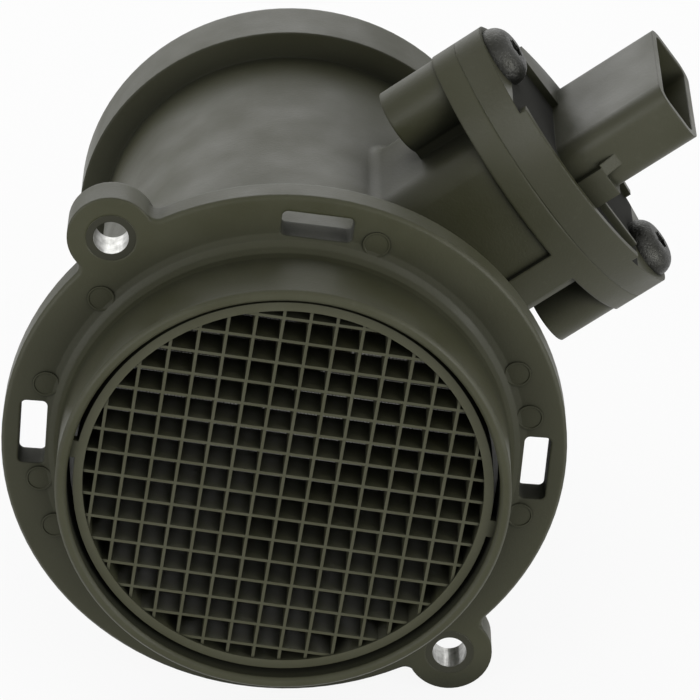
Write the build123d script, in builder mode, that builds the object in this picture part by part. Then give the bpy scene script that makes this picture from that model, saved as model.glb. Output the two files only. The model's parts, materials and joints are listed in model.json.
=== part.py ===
from build123d import *
import math
import os

os.makedirs("parts", exist_ok=True)

# Frame: Y runs along the tube, away from the inlet. Z is up. The flange's front face is y = 0.
# Millimetres and degrees throughout.

# Flange and its two mounting ears
flange_radius = 60.0
flange_thickness = 6.5
flange_edge_bevel = 0.6
ear_offset = 1.6
ear_radius = 9.2
ear_thickness = 7.6
ear_root_fillet = 2.4
sleeve_bore_radius = 3.7
sleeve_wall = 1.5

# Hose tube with its outlet collar
tube_bore_radius = 40.0
tube_wall = 2.8
tube_root_bevel = 1.6
outlet_face = 121.5
outlet_collar_length = 15.1
outlet_collar_step = 6.1
outlet_edge_radius = 1.8

# Inlet collar, which seats in the air cleaner
inlet_length = 19.0
inlet_radius = 47.7
inlet_wall = 2.4
inlet_rim_bevel = 0.6
inlet_root_radius = 3.8

# Lightening slots through the flange, turned from the lower ear
slot_turns = (50.0, 137.0, 230.0, 317.0)
slot_length = 15.1
slot_height = 5.65
slot_corner_radius = 1.2
slot_inset = 6.6

# Inlet grille, wire mesh and mesh rim
grille_recess = 2.3
grille_gap = 1.3
grille_ring_wall = 2.0
grid_turn = 45.8
bar_width = 0.65
bar_depth = 8.0
bar_setback = 0.4
column_pitch = 5.55
column_offset = -0.3
row_pitch = 5.25
row_offset = -2.25
grille_tab_turn = 42.3
grille_tab_width = 4.0
grille_tab_depth = 2.0
tab_pocket_depth = 0.6
tab_gap = 0.1
mesh_rim_thickness = 1.2
mesh_rim_overhang = 1.4
mesh_rim_gap = 0.2
mesh_thickness = 0.4
mesh_wire = 0.3
mesh_pitch = 12.0
mesh_grip = 1.6

# Sensor module plate and the pad that it is screwed to
module_turn = 90.0
module_y = 52.5
joint_height = 70.0
pad_thickness = 5.8
plate_thickness = 6.5
plate_half_width = 22.0
lobe_radius = 8.0
screw_offset = 28.2
neck_inset = 1.0
neck_half_span = 20.0
neck_corner_radius = 7.0
neck_foot_height = 34.0
neck_root_fillet = 3.0
gusset_near = 8.1
gusset_far = 16.6
boss_drop = 14.2
boss_inset = 0.5
boss_web = 9.0
rim_height = 1.6
rim_width = 1.8
rim_half_span = 21.5
rib_y = 42.7
rib_width = 1.2
ledge_y = 63.5

# Connector shroud
connector_y = 56.5
connector_width = 14.8
connector_length = 34.6
connector_corner_radius = 4.0
connector_wall = 1.8
connector_height = 26.5
connector_floor = 3.5
plinth_height = 6.5
plinth_step = 1.2
plinth_half = 7.4
nub_width = 3.0
nub_height = 4.0

# Terminals
pole_count = 5
pole_pitch = 5.0
tail_pitch = 4.0
blade_width = 2.8
blade_thickness = 0.8
blade_reach = 17.0
tail_width = 1.2
tail_jog_rise = 1.5
tail_jog_drop = 3.0
tail_rest = 3.0

# Probe stem, its measuring duct and covers
stem_width = 13.0
stem_length = 30.0
stem_corner_radius = 3.0
stem_tip = -14.0
stem_gap = 0.3
cover_thickness = 1.5
cover_gap = 0.1
cover_drop = 9.0
cover_land = 2.5
pocket_length = 25.0
pocket_height = 21.0
pocket_drop = 10.0
pocket_floor = -2.2
duct_floor = -5.3
duct_width = 6.0
duct_inlet_height = -5.5
duct_mouth_flare = 2.0
duct_mouth_length = 4.0
duct_rear = -8.5
duct_front = 6.0
duct_top = 24.0
duct_end = 13.0
duct_window = 5.0

# Seal round the stem
seal_drop = 4.0
seal_groove_width = 2.4
seal_groove_depth = 1.5
seal_height = 1.8

# Carrier plate, circuit and sensing element
board_gap = 0.4
carrier_thickness = 1.0
tongue_width = 6.0
board_thickness = 0.8
board_drop = 1.0
chip_size = 7.0
chip_thickness = 1.3
chip_spacing = 1.5
chip_drop = 9.5
transistor_width = 4.5
transistor_length = 6.0
transistor_thickness = 1.8
resistor_width = 5.0
resistor_height = 2.6
resistor_thickness = 0.3
resistor_rise = 4.5
capacitor_width = 1.6
capacitor_length = 3.2
capacitor_thickness = 1.4
capacitor_pitch = 3.6
element_width = 4.0
element_height = 4.4
element_thickness = 0.4
element_setback = 0.4

# Air temperature resistor behind the stem
thermistor_height = 30.0
thermistor_radius = 1.3
thermistor_length = 3.4
thermistor_standoff = 2.5
lead_radius = 0.3
lead_pitch = 1.6
lead_depth = 1.8

# Module screws and their inserts
head_radius = 6.8
head_height = 4.2
head_shoulder = 1.5
shank_radius = 2.0
shank_length = 14.0
shank_hole_gap = 0.3
thread_gap = 0.05
insert_radius = 3.1
insert_length = 9.0
drill_margin = 1.4

# Straight steps that stand for a quarter round in the wall's profile, which keeps its facets few
round_steps = 4

# How closely an edge's place is matched when it is picked for a fillet or a bevel
match = 0.01

# Derived sizes
bolt_radius = flange_radius + ear_offset
slot_radius = flange_radius - slot_inset
lower_ear_angle = -math.degrees(math.asin((flange_radius - ear_radius) / bolt_radius))
ear_angles = (lower_ear_angle, lower_ear_angle + 180)
module_angle = math.radians(lower_ear_angle + module_turn)
grid_angle = math.radians(lower_ear_angle + grid_turn)
sleeve_radius = sleeve_bore_radius + sleeve_wall
tube_radius = tube_bore_radius + tube_wall
outlet_radius = tube_radius + outlet_collar_step
outlet_flat = outlet_radius - outlet_edge_radius
outlet_collar_front = outlet_face - outlet_collar_length
inlet_bore_radius = inlet_radius - inlet_wall
grille_radius = inlet_bore_radius - grille_gap
grille_front = grille_recess - inlet_length
grille_back = grille_front + bar_setback + bar_depth
inlet_ledge = grille_back + mesh_thickness + mesh_rim_thickness
grille_inner_radius = grille_radius - grille_ring_wall
tab_radius = inlet_bore_radius + tab_pocket_depth - tab_gap
pad_bottom = joint_height - pad_thickness
plate_top = joint_height + plate_thickness
mouth_height = plate_top + connector_height
socket_floor = plate_top + connector_floor
connector_shift = module_y - connector_y
cover_seat = stem_width / 2 - cover_thickness
cover_top = joint_height - cover_drop
pocket_top = joint_height - pocket_drop
pocket_bottom = pocket_top - pocket_height
cover_split = pocket_bottom - cover_land
chip_height = pocket_top - chip_drop
resistor_line = pocket_bottom + resistor_rise
seal_top = joint_height - seal_drop
tail_jog_top = joint_height + tail_jog_rise
tail_jog_bottom = joint_height - tail_jog_drop
board_face = pocket_floor + carrier_thickness + board_thickness
tongue_end = duct_top - duct_width / 2 + element_setback
insert_bottom = joint_height - insert_length
shank_end = plate_top - shank_length
stem_back = module_y + stem_length / 2
thermistor_face = stem_back + thermistor_standoff
screw_spots = [(-screw_offset, 0), (screw_offset, 0)]

# The module stands on its own plane: local x runs across the tube, local y towards the inlet,
# and local z away from the tube's axis.
outward = Vector(math.cos(module_angle), 0, math.sin(module_angle))
across = Vector(-math.sin(module_angle), 0, math.cos(module_angle))
module_plane = Plane(origin=(0, module_y, 0), x_dir=across, z_dir=outward)


def flat(y, turn=0.0):
    """Plane across the tube at y, turned about the tube's axis by turn radians."""
    return Plane(origin=(0, y, 0), x_dir=(math.cos(turn), 0, math.sin(turn)), z_dir=(0, -1, 0))


def side(offset):
    """Plane along the stem, offset across it: local x towards the inlet, local y outward."""
    return Plane(origin=module_plane.origin + across * offset, x_dir=(0, -1, 0), z_dir=across)


def behind_stem(y):
    """Plane across the tube at y, centred on the air temperature resistor, local x outward."""
    return Plane(origin=outward * thermistor_height + Vector(0, y, 0), x_dir=outward, z_dir=(0, -1, 0))


def corner(sketch, x, y):
    """The sketch's vertex nearest to a point."""
    return sketch.vertices().sort_by_distance((x, y, 0))[0]


def on_tube(vertex):
    """Whether a vertex lies where the neck leaves the tube."""
    radius = math.hypot(vertex.X, vertex.Z)
    return math.isclose(radius, tube_radius, abs_tol=match) and abs(vertex.Y - module_y) < plate_half_width


def on_rim(vertex):
    """Whether a vertex lies on the flange's outer edge."""
    return vertex.Y < flange_thickness + match and math.hypot(vertex.X, vertex.Z) > slot_radius + slot_height


def stepped_arc(centre_x, centre_y, radius, start, stop):
    """Points along an arc from one angle to another, in degrees."""
    turns = [math.radians(start + (stop - start) * step / round_steps) for step in range(round_steps + 1)]
    return [(centre_x + radius * math.cos(turn), centre_y + radius * math.sin(turn)) for turn in turns]


def lens(height, grow=0.0):
    """The plate's outline: two screw lobes joined by tangent side arcs."""
    half_width = plate_half_width + grow
    end_radius = lobe_radius + grow
    arc_radius = (screw_offset**2 + half_width**2 - end_radius**2) / (2 * (half_width - end_radius))
    arc_centre = arc_radius - half_width
    touch_x = arc_radius * screw_offset / (arc_radius - end_radius)
    touch_y = arc_radius * arc_centre / (arc_radius - end_radius) - arc_centre
    with BuildSketch(module_plane.offset(height)) as outline:
        with BuildLine():
            ThreePointArc((-touch_x, touch_y), (0, half_width), (touch_x, touch_y))
            ThreePointArc((touch_x, touch_y), (screw_offset + end_radius, 0), (touch_x, -touch_y))
            ThreePointArc((touch_x, -touch_y), (0, -half_width), (-touch_x, -touch_y))
            ThreePointArc((-touch_x, -touch_y), (-screw_offset - end_radius, 0), (-touch_x, touch_y))
        make_face()
    return outline


def stem_section(height, shrink=0.0):
    """The stem's rounded section, drawn in by shrink all round."""
    with BuildSketch(module_plane.offset(height)) as section:
        RectangleRounded(stem_width - 2 * shrink, stem_length - 2 * shrink, stem_corner_radius - shrink)
    return section.sketch


def cover_section(height):
    """The slice of the stem's section that a cover takes."""
    with BuildSketch(module_plane.offset(height)) as section:
        RectangleRounded(stem_width, stem_length, stem_corner_radius)
        with Locations((cover_seat + cover_thickness / 2, 0)):
            Rectangle(cover_thickness, stem_length, mode=Mode.INTERSECT)
    return section.sketch


def terminal_outline():
    """Blades and tails of the lead frame, on its own plane."""
    with BuildSketch(side(-blade_thickness / 2)) as outline:
        for pole in range(pole_count):
            rank = pole - (pole_count - 1) / 2
            blade_at = connector_shift + rank * pole_pitch
            tail_at = rank * tail_pitch
            with Locations((blade_at, (tail_jog_top + socket_floor + blade_reach) / 2)):
                Rectangle(blade_width, socket_floor + blade_reach - tail_jog_top)
            with BuildLine():
                Polyline(
                    (blade_at, tail_jog_top + tail_width),
                    (blade_at, tail_jog_top),
                    (tail_at, tail_jog_bottom),
                    (tail_at, pocket_top - tail_rest),
                )
            trace(line_width=tail_width)
    return outline.sketch


terminals = terminal_outline()

# Housing: tube, flange, collars, neck, pad and bosses in one moulding
with BuildPart() as housing:
    with BuildSketch(module_plane.offset(neck_foot_height)) as neck_section:
        add(lens(neck_foot_height, -neck_inset).sketch_local)
        Rectangle(2 * neck_half_span, 2 * plate_half_width, mode=Mode.INTERSECT)
        fillet(neck_section.vertices(), neck_corner_radius)
    extrude(amount=pad_bottom - neck_foot_height)
    with BuildSketch(module_plane.offset(neck_foot_height)) as gusset_section:
        add(lens(neck_foot_height).sketch_local)
        with Locations((-(gusset_near + gusset_far) / 2, plate_half_width / 2)):
            Rectangle(gusset_far - gusset_near, plate_half_width, mode=Mode.INTERSECT)
    extrude(amount=pad_bottom - neck_foot_height)
    with BuildSketch(flat(inlet_ledge)):
        Circle(tube_bore_radius)
    extrude(amount=inlet_ledge - outlet_face, mode=Mode.SUBTRACT)
    with BuildSketch(Plane.XY) as wall_profile:
        with BuildLine():
            Polyline(
                (inlet_bore_radius, -inlet_length),
                (inlet_radius, -inlet_length),
                *stepped_arc(inlet_radius + inlet_root_radius, -inlet_root_radius, inlet_root_radius, 180, 90),
                (flange_radius, 0),
                (flange_radius, flange_thickness),
                (tube_radius, flange_thickness),
                (tube_radius, outlet_collar_front),
                (outlet_radius, outlet_collar_front),
                *stepped_arc(outlet_flat, outlet_face - outlet_edge_radius, outlet_edge_radius, 0, 90),
                (tube_bore_radius, outlet_face),
                (tube_bore_radius, inlet_ledge),
                (inlet_bore_radius, inlet_ledge),
                close=True,
            )
        make_face()
        chamfer(corner(wall_profile, inlet_bore_radius, -inlet_length), inlet_rim_bevel)
        chamfer(corner(wall_profile, inlet_radius, -inlet_length), inlet_rim_bevel)
        chamfer(corner(wall_profile, tube_radius, flange_thickness), tube_root_bevel)
    revolve(axis=Axis.Y)
    neck_root = [edge for edge in housing.edges() if all(on_tube(vertex) for vertex in edge.vertices())]
    fillet(neck_root, neck_root_fillet)
    extrude(lens(pad_bottom).sketch, amount=pad_thickness)
    with BuildSketch(module_plane.offset(pad_bottom)) as boss_section:
        with Locations(screw_spots):
            Circle(lobe_radius - boss_inset)
        Rectangle(2 * screw_offset, boss_web)
    extrude(amount=-boss_drop)
    with BuildSketch(flat(0)) as flange_outline:
        Circle(flange_radius)
        with PolarLocations(bolt_radius, 2, start_angle=lower_ear_angle):
            Circle(ear_radius)
        ear_reach = (flange_radius**2 + bolt_radius**2 - ear_radius**2) / (2 * flange_radius * bolt_radius)
        ear_half_turn = math.degrees(math.acos(ear_reach))
        root_turns = [ear + turn for ear in ear_angles for turn in (-ear_half_turn, ear_half_turn)]
        root_points = [Vector(flange_radius, 0).rotate(Axis.Z, turn) for turn in root_turns]
        fillet([corner(flange_outline, spot.X, spot.Y) for spot in root_points], ear_root_fillet)
        Circle(tube_bore_radius, mode=Mode.SUBTRACT)
    extrude(amount=-flange_thickness)
    rim_edges = [edge for edge in housing.edges() if all(on_rim(vertex) for vertex in edge.vertices())]
    chamfer([edge for edge in rim_edges if edge.geom_type != GeomType.LINE], flange_edge_bevel)
    with BuildSketch(flat(0)) as ear_pads:
        with PolarLocations(bolt_radius, 2, start_angle=lower_ear_angle):
            Circle(ear_radius)
    extrude(amount=-ear_thickness)
    with BuildSketch(flat(0)) as sleeve_holes:
        with PolarLocations(bolt_radius, 2, start_angle=lower_ear_angle):
            Circle(sleeve_radius)
    extrude(amount=-ear_thickness, mode=Mode.SUBTRACT)
    with BuildSketch(flat(-inlet_root_radius)) as flange_slots:
        for turn in slot_turns:
            with PolarLocations(slot_radius, 1, start_angle=lower_ear_angle + turn):
                RectangleRounded(slot_height, slot_length, slot_corner_radius)
    extrude(amount=-inlet_root_radius - flange_thickness, mode=Mode.SUBTRACT)
    with BuildSketch(flat(grille_front)) as tab_pockets:
        Circle(inlet_bore_radius + tab_pocket_depth)
        with Locations(Rotation(0, 0, lower_ear_angle + grille_tab_turn)):
            Rectangle(2 * inlet_radius, grille_tab_width + 2 * tab_gap, mode=Mode.INTERSECT)
    extrude(amount=-grille_tab_depth - tab_gap, mode=Mode.SUBTRACT)
    with BuildSketch(module_plane.offset(joint_height)) as stem_shaft:
        RectangleRounded(stem_width + 2 * stem_gap, stem_length + 2 * stem_gap, stem_corner_radius + stem_gap)
    extrude(amount=-joint_height, mode=Mode.SUBTRACT)
    with BuildSketch(module_plane.offset(joint_height)) as insert_holes:
        with Locations(screw_spots):
            Circle(insert_radius)
    extrude(amount=-insert_length, mode=Mode.SUBTRACT)
    with BuildSketch(module_plane.offset(insert_bottom)) as drill_holes:
        with Locations(screw_spots):
            Circle(shank_radius + shank_hole_gap)
    extrude(amount=shank_end - drill_margin - insert_bottom, mode=Mode.SUBTRACT)
housing.part.label = "housing"
export_step(housing.part, "parts/housing.step")

# Steel sleeves that take the bolt load in the two ears
with BuildPart() as ear_sleeves:
    with BuildSketch(flat(0)) as sleeve_rings:
        with PolarLocations(bolt_radius, 2, start_angle=lower_ear_angle):
            Circle(sleeve_radius)
            Circle(sleeve_bore_radius, mode=Mode.SUBTRACT)
    extrude(amount=-ear_thickness)
ear_sleeves.part.label = "ear_sleeves"
export_step(ear_sleeves.part, "parts/ear_sleeves.step")

# Inlet grille: ring, square grid and two tabs that snap into the collar
with BuildPart() as inlet_grille:
    with BuildSketch(flat(grille_front)) as grille_ring:
        Circle(grille_radius)
        Circle(grille_inner_radius, mode=Mode.SUBTRACT)
    extrude(amount=grille_front - grille_back)
    with BuildSketch(flat(grille_front + bar_setback, grid_angle)) as bar_grid:
        grid_reach = grille_inner_radius - bar_width
        columns = range(-math.ceil(grid_reach / column_pitch), math.ceil(grid_reach / column_pitch) + 1)
        rows = range(-math.ceil(grid_reach / row_pitch), math.ceil(grid_reach / row_pitch) + 1)
        column_spots = [column_offset + column * column_pitch for column in columns]
        row_spots = [row_offset + row * row_pitch for row in rows]
        with Locations([(spot, 0) for spot in column_spots if abs(spot) < grid_reach]):
            Rectangle(bar_width, 2 * grille_radius)
        with Locations([(0, spot) for spot in row_spots if abs(spot) < grid_reach]):
            Rectangle(2 * grille_radius, bar_width)
        Circle(grille_radius - grille_ring_wall / 2, mode=Mode.INTERSECT)
    extrude(amount=-bar_depth)
    with BuildSketch(flat(grille_front)) as grille_tabs:
        Circle(tab_radius)
        Circle(grille_inner_radius, mode=Mode.SUBTRACT)
        with Locations(Rotation(0, 0, lower_ear_angle + grille_tab_turn)):
            Rectangle(2 * inlet_radius, grille_tab_width, mode=Mode.INTERSECT)
    extrude(amount=-grille_tab_depth)
inlet_grille.part.label = "inlet_grille"
export_step(inlet_grille.part, "parts/inlet_grille.step")

# Wire mesh behind the grille, held by its edge between the grille and the mesh rim
with BuildPart() as wire_mesh:
    with BuildSketch(flat(grille_back, grid_angle)) as mesh_wires:
        mesh_radius = grille_inner_radius + mesh_grip
        wire_count = 2 * math.floor(mesh_radius / mesh_pitch) + 1
        with GridLocations(mesh_pitch, 0, wire_count, 1):
            Rectangle(mesh_wire, 2 * mesh_radius)
        with GridLocations(0, mesh_pitch, 1, wire_count):
            Rectangle(2 * mesh_radius, mesh_wire)
        Circle(mesh_radius, mode=Mode.INTERSECT)
    extrude(amount=-mesh_thickness)
wire_mesh.part.label = "wire_mesh"
export_step(wire_mesh.part, "parts/wire_mesh.step")

# Rim that the mesh lies on, seated on the collar's inner ledge
with BuildPart() as mesh_rim:
    with BuildSketch(flat(inlet_ledge - mesh_rim_thickness)) as rim_ring:
        Circle(inlet_bore_radius - mesh_rim_gap)
        Circle(grille_inner_radius - mesh_rim_overhang, mode=Mode.SUBTRACT)
    extrude(amount=-mesh_rim_thickness)
mesh_rim.part.label = "mesh_rim"
export_step(mesh_rim.part, "parts/mesh_rim.step")

# Module body: plate, connector shroud and probe stem in one moulding
with BuildPart() as module_body:
    extrude(lens(joint_height).sketch, amount=plate_thickness)
    with BuildSketch(module_plane.offset(plate_top)) as raised_rim:
        add(lens(plate_top).sketch_local)
        add(lens(plate_top, -rim_width).sketch_local, mode=Mode.SUBTRACT)
        with Locations((-plate_half_width / 2, module_y - rib_y)):
            Rectangle(plate_half_width, rib_width)
        with Locations((plate_half_width / 2, module_y - ledge_y - plate_half_width / 2)):
            Rectangle(plate_half_width, plate_half_width)
        add(lens(plate_top).sketch_local, mode=Mode.INTERSECT)
        Rectangle(2 * rim_half_span, 2 * plate_half_width, mode=Mode.INTERSECT)
    extrude(amount=rim_height)
    with BuildSketch(module_plane.offset(plate_top)) as shroud:
        with Locations((0, connector_shift)):
            RectangleRounded(connector_width, connector_length, connector_corner_radius)
    extrude(amount=connector_height)
    with BuildSketch(module_plane.offset(plate_top)) as plinth:
        with Locations((-plinth_half / 2, connector_shift + connector_length / 2 - plinth_half / 2)):
            Rectangle(plinth_half, plinth_half + 2 * plinth_step)
    extrude(amount=plinth_height)
    with BuildSketch(side(-plinth_half / 2 + nub_width / 2)) as nub:
        nub_base = connector_shift + connector_length / 2
        nub_foot = plate_top + plinth_height
        with BuildLine():
            Polyline(
                (nub_base - plinth_step, nub_foot),
                (nub_base + plinth_step, nub_foot),
                (nub_base, nub_foot + nub_height),
                (nub_base - plinth_step, nub_foot + nub_height),
                close=True,
            )
        make_face()
    extrude(amount=nub_width)
    with BuildSketch(module_plane.offset(mouth_height)) as socket:
        with Locations((0, connector_shift)):
            RectangleRounded(
                connector_width - 2 * connector_wall,
                connector_length - 2 * connector_wall,
                connector_corner_radius - connector_wall,
            )
    extrude(amount=socket_floor - mouth_height, mode=Mode.SUBTRACT)
    extrude(stem_section(stem_tip), amount=joint_height - stem_tip)
    with BuildSketch(module_plane.offset(seal_top)) as seal_groove:
        Rectangle(stem_width + stem_gap, stem_length + stem_gap)
        RectangleRounded(
            stem_width - 2 * seal_groove_depth,
            stem_length - 2 * seal_groove_depth,
            stem_corner_radius - seal_groove_depth,
            mode=Mode.SUBTRACT,
        )
    extrude(amount=-seal_groove_width, mode=Mode.SUBTRACT)
    extrude(cover_section(stem_tip), amount=cover_top - stem_tip, mode=Mode.SUBTRACT)
    with BuildSketch(side(cover_seat)) as circuit_pocket:
        with Locations((0, (pocket_bottom + pocket_top) / 2)):
            Rectangle(pocket_length, pocket_top - pocket_bottom)
        with Locations((0, (tongue_end + pocket_bottom) / 2)):
            Rectangle(tongue_width + 2 * board_gap, pocket_bottom - tongue_end)
    extrude(amount=pocket_floor - cover_seat, mode=Mode.SUBTRACT)
    with BuildSketch(side(cover_seat)) as duct_passage:
        with BuildLine() as duct_line:
            FilletPolyline(
                (stem_length / 2, duct_inlet_height),
                (duct_rear, duct_inlet_height),
                (duct_rear, duct_top),
                (duct_front, duct_top),
                (duct_front, duct_end),
                radius=duct_width / 2,
            )
        trace(line_width=duct_width)
        with BuildLine():
            mouth_half = duct_width / 2 + duct_mouth_flare
            Polyline(
                (stem_length / 2, duct_inlet_height - mouth_half),
                (stem_length / 2, duct_inlet_height + mouth_half),
                (stem_length / 2 - duct_mouth_length, duct_inlet_height + duct_width / 2),
                (stem_length / 2 - duct_mouth_length, duct_inlet_height - duct_width / 2),
                close=True,
            )
        make_face()
    extrude(amount=duct_floor - cover_seat, mode=Mode.SUBTRACT)
    with BuildSketch(side(duct_floor)) as duct_outlet:
        with Locations((duct_front, duct_end + duct_window / 2)):
            Rectangle(duct_window, duct_window)
    extrude(amount=-stem_width, mode=Mode.SUBTRACT)
    with BuildSketch(module_plane.offset(plate_top)) as screw_holes:
        with Locations(screw_spots):
            Circle(shank_radius + shank_hole_gap)
    extrude(amount=-plate_thickness, mode=Mode.SUBTRACT)
    with BuildSketch(behind_stem(stem_back - lead_depth)) as lead_holes:
        with GridLocations(lead_pitch, 0, 2, 1):
            Circle(lead_radius)
    extrude(amount=-lead_depth, mode=Mode.SUBTRACT)
    extrude(terminals, amount=blade_thickness, mode=Mode.SUBTRACT)
module_body.part.label = "module_body"
export_step(module_body.part, "parts/module_body.step")

# Lead frame: five blades in the socket with tails down to the circuit
with BuildPart() as connector_terminals:
    extrude(terminals, amount=blade_thickness)
connector_terminals.part.label = "connector_terminals"
export_step(connector_terminals.part, "parts/connector_terminals.step")

# Ring that seals the stem in the neck
with BuildPart() as probe_seal:
    with BuildSketch(module_plane.offset(seal_top - (seal_groove_width - seal_height) / 2)) as seal_ring:
        RectangleRounded(stem_width + 2 * stem_gap, stem_length + 2 * stem_gap, stem_corner_radius + stem_gap)
        RectangleRounded(
            stem_width - 2 * seal_groove_depth,
            stem_length - 2 * seal_groove_depth,
            stem_corner_radius - seal_groove_depth,
            mode=Mode.SUBTRACT,
        )
    extrude(amount=-seal_height)
probe_seal.part.label = "probe_seal"
export_step(probe_seal.part, "parts/probe_seal.step")

# Aluminium carrier: lies on the pocket's floor, its tongue reaches into the duct
with BuildPart() as carrier_plate:
    with BuildSketch(side(pocket_floor)) as carrier_outline:
        with Locations((0, (pocket_bottom + pocket_top) / 2)):
            Rectangle(pocket_length - 2 * board_gap, pocket_top - pocket_bottom - 2 * board_gap)
        with Locations((0, (tongue_end + pocket_bottom + board_gap) / 2)):
            Rectangle(tongue_width, pocket_bottom + board_gap - tongue_end)
    extrude(amount=carrier_thickness)
carrier_plate.part.label = "carrier_plate"
export_step(carrier_plate.part, "parts/carrier_plate.step")

# Ceramic board of the hybrid circuit, bonded to the carrier
with BuildPart() as hybrid_board:
    with BuildSketch(side(pocket_floor + carrier_thickness)) as board_outline:
        with Locations((0, (pocket_bottom + pocket_top) / 2)):
            Rectangle(
                pocket_length - 2 * board_gap - 2 * board_drop,
                pocket_top - pocket_bottom - 2 * board_gap - 2 * board_drop,
            )
    extrude(amount=board_thickness)
hybrid_board.part.label = "hybrid_board"
export_step(hybrid_board.part, "parts/hybrid_board.step")

# Evaluation chip on the board
with BuildPart() as signal_chip:
    with BuildSketch(side(board_face)) as chip_outline:
        with Locations((-chip_size / 2 - chip_spacing, chip_height)):
            Rectangle(chip_size, chip_size)
    extrude(amount=chip_thickness)
signal_chip.part.label = "signal_chip"
export_step(signal_chip.part, "parts/signal_chip.step")

# Heater transistor beside it
with BuildPart() as heater_transistor:
    with BuildSketch(side(board_face)) as transistor_outline:
        with Locations((transistor_width / 2 + chip_spacing, chip_height)):
            Rectangle(transistor_width, transistor_length)
    extrude(amount=transistor_thickness)
heater_transistor.part.label = "heater_transistor"
export_step(heater_transistor.part, "parts/heater_transistor.step")

# Two chip capacitors at the board's inlet edge
with BuildPart() as chip_capacitors:
    with BuildSketch(side(board_face)) as capacitor_outline:
        with Locations((transistor_width + 2 * chip_spacing + capacitor_width / 2, chip_height)):
            with GridLocations(0, capacitor_pitch, 1, 2):
                Rectangle(capacitor_width, capacitor_length)
    extrude(amount=capacitor_thickness)
chip_capacitors.part.label = "chip_capacitors"
export_step(chip_capacitors.part, "parts/chip_capacitors.step")

# Three printed resistors below the chips
with BuildPart() as trim_resistors:
    with BuildSketch(side(board_face)) as resistor_outline:
        with Locations((0, resistor_line)):
            with GridLocations(resistor_width + chip_spacing, 0, 3, 1):
                Rectangle(resistor_width, resistor_height)
    extrude(amount=resistor_thickness)
trim_resistors.part.label = "trim_resistors"
export_step(trim_resistors.part, "parts/trim_resistors.step")

# Hot film element on the carrier's tongue, across the duct's upper run
with BuildPart() as hot_film_element:
    with BuildSketch(side(pocket_floor + carrier_thickness)) as element_outline:
        with Locations((0, tongue_end + element_setback + element_height / 2)):
            Rectangle(element_width, element_height)
    extrude(amount=element_thickness)
hot_film_element.part.label = "hot_film_element"
export_step(hot_film_element.part, "parts/hot_film_element.step")

# Cover over the circuit pocket
with BuildPart() as circuit_cover:
    extrude(cover_section(cover_split + cover_gap), amount=cover_top - cover_split - 2 * cover_gap)
circuit_cover.part.label = "circuit_cover"
export_step(circuit_cover.part, "parts/circuit_cover.step")

# Cover over the measuring duct, with the rib that closes the tongue's slit
with BuildPart() as duct_cover:
    extrude(cover_section(stem_tip), amount=cover_split - stem_tip)
    with BuildSketch(side(cover_seat)) as slit_rib:
        with Locations((0, (duct_top + duct_width / 2 + cover_split) / 2)):
            Rectangle(tongue_width, cover_split - duct_top - duct_width / 2)
    extrude(amount=pocket_floor + carrier_thickness + cover_gap - cover_seat)
duct_cover.part.label = "duct_cover"
export_step(duct_cover.part, "parts/duct_cover.step")

# Air temperature resistor: a small barrel on two leads behind the stem
with BuildPart() as air_thermistor:
    with BuildSketch(behind_stem(thermistor_face)) as barrel:
        Circle(thermistor_radius)
    extrude(amount=-thermistor_length)
    with BuildSketch(behind_stem(stem_back - lead_depth)) as leads:
        with GridLocations(lead_pitch, 0, 2, 1):
            Circle(lead_radius)
    extrude(amount=stem_back - lead_depth - thermistor_face)
air_thermistor.part.label = "air_thermistor"
export_step(air_thermistor.part, "parts/air_thermistor.step")

# Brass inserts in the two screw bosses
with BuildPart() as boss_inserts:
    with BuildSketch(module_plane.offset(insert_bottom)) as insert_rings:
        with Locations(screw_spots):
            Circle(insert_radius)
            Circle(shank_radius + thread_gap, mode=Mode.SUBTRACT)
    extrude(amount=insert_length)
boss_inserts.part.label = "boss_inserts"
export_step(boss_inserts.part, "parts/boss_inserts.step")

# Two screws that hold the module
with BuildPart() as module_screws:
    with BuildSketch(module_plane.offset(plate_top)) as screw_heads:
        with Locations(screw_spots):
            Circle(head_radius)
    extrude(amount=head_height)
    crowns = module_screws.edges().sort_by(Axis(module_plane.origin, outward))[-2:]
    chamfer(crowns, head_shoulder)
    with BuildSketch(module_plane.offset(plate_top)) as screw_shanks:
        with Locations(screw_spots):
            Circle(shank_radius)
    extrude(amount=-shank_length)
module_screws.part.label = "module_screws"
export_step(module_screws.part, "parts/module_screws.step")
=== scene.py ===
"""Looks of the air flow meter: its finishes, fine mesh, screw heads, mould marks, floor, lights and camera.

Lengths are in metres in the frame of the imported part: Y runs along the tube away from the inlet, Z is up, and
the flange's front face is y = 0.
"""

from __future__ import annotations

import json
import logging
import math
from dataclasses import dataclass
from enum import Enum
from typing import Callable, Iterable

import bmesh
import bpy
from mathutils import Euler, Matrix, Vector

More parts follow.
